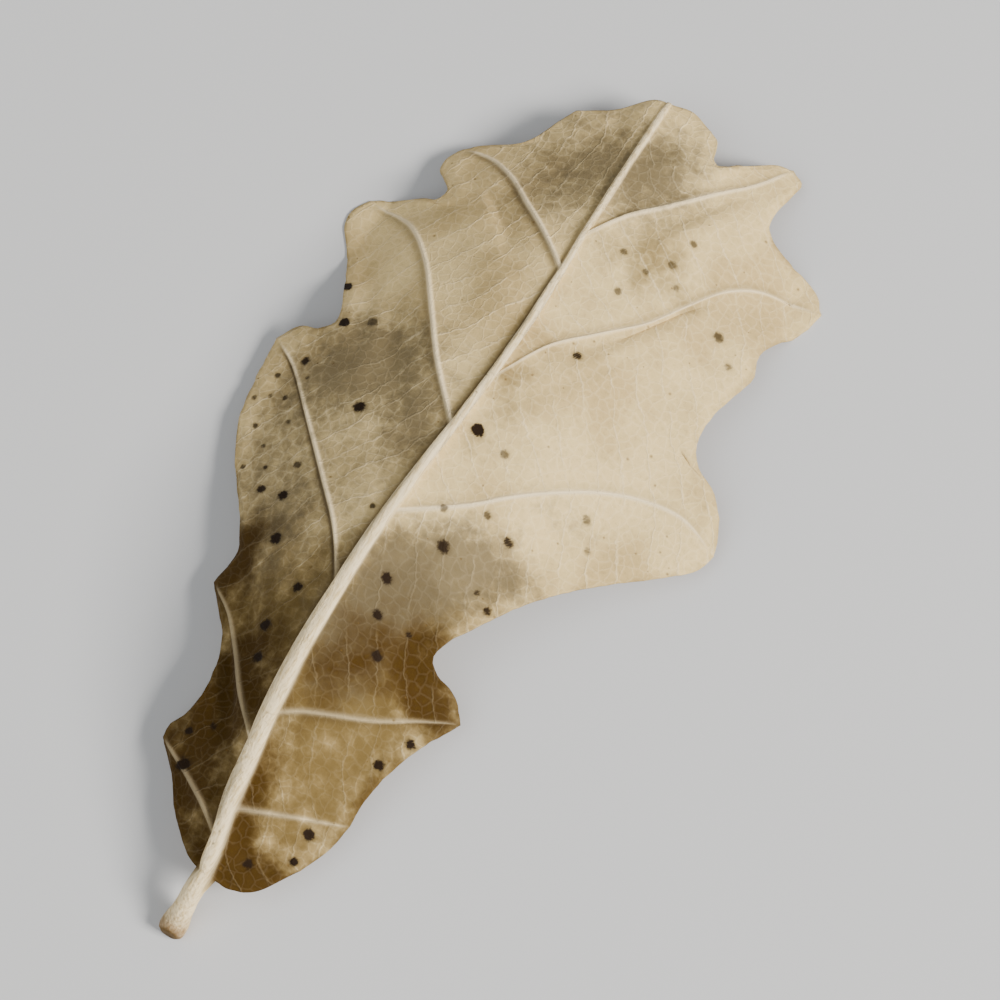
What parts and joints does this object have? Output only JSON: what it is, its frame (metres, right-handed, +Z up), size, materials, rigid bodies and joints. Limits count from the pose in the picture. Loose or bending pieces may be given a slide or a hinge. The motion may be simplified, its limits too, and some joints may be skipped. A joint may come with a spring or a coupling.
{
  "type": "oak leaf",
  "caption": "Dried lobed oak leaf lying underside up, a low dome on its lobe tips and stalk foot, with raised midrib, side ribs and short stalk.",
  "frame": {"origin": "on the resting surface, below the middle of the leaf's box", "axes": "+Y along the midrib from the stalk to the tip of the leaf, +Z up out of the leaf's underside, +X to the right seen from above with the tip away"},
  "size_m": [0.0391, 0.0768, 0.0108],
  "materials": {
    "dried_leaf": "matte, pale grey-beige underside with straw-coloured ribs and an ochre foot"
  },
  "bodies": {
    "root": {"oak_leaf": "dried_leaf"}
  },
  "joints": []
}
